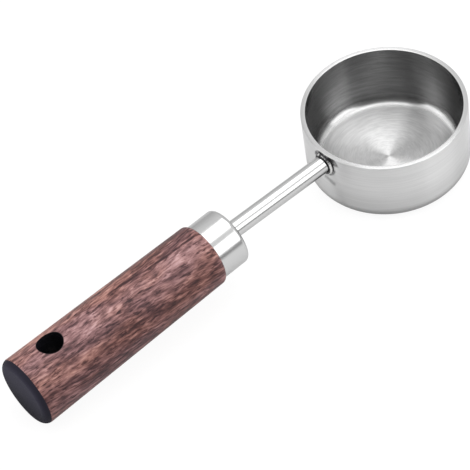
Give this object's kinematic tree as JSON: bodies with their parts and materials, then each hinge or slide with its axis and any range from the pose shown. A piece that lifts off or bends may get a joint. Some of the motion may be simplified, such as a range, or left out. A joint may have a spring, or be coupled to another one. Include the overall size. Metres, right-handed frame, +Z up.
{
  "type": "measuring spoon",
  "caption": "Round flat-bottomed steel measuring cup on a steel rod, with a ferruled wooden handle, a dark end cap and a hanging hole.",
  "frame": {"origin": "centre of the cup's flat underside", "axes": "+Z up along the cup's axis, -X along the handle towards its butt, +Y to the left of someone who looks from the butt towards the cup"},
  "size_m": [0.1224, 0.037, 0.0188],
  "materials": {
    "cup_steel": "stainless steel, satin brushed outside, turned floor",
    "polished_steel": "stainless steel, polished",
    "weld_metal": "stainless steel weld, heat tinted",
    "walnut": "walnut, fine sanded and oiled, open pores",
    "cap_plastic": "charcoal, satin"
  },
  "bodies": {
    "root": {"cup": "cup_steel", "rod": "polished_steel", "weld_bead": "weld_metal", "ferrule": "polished_steel", "grip": "walnut", "end_cap": "cap_plastic"}
  },
  "joints": []
}
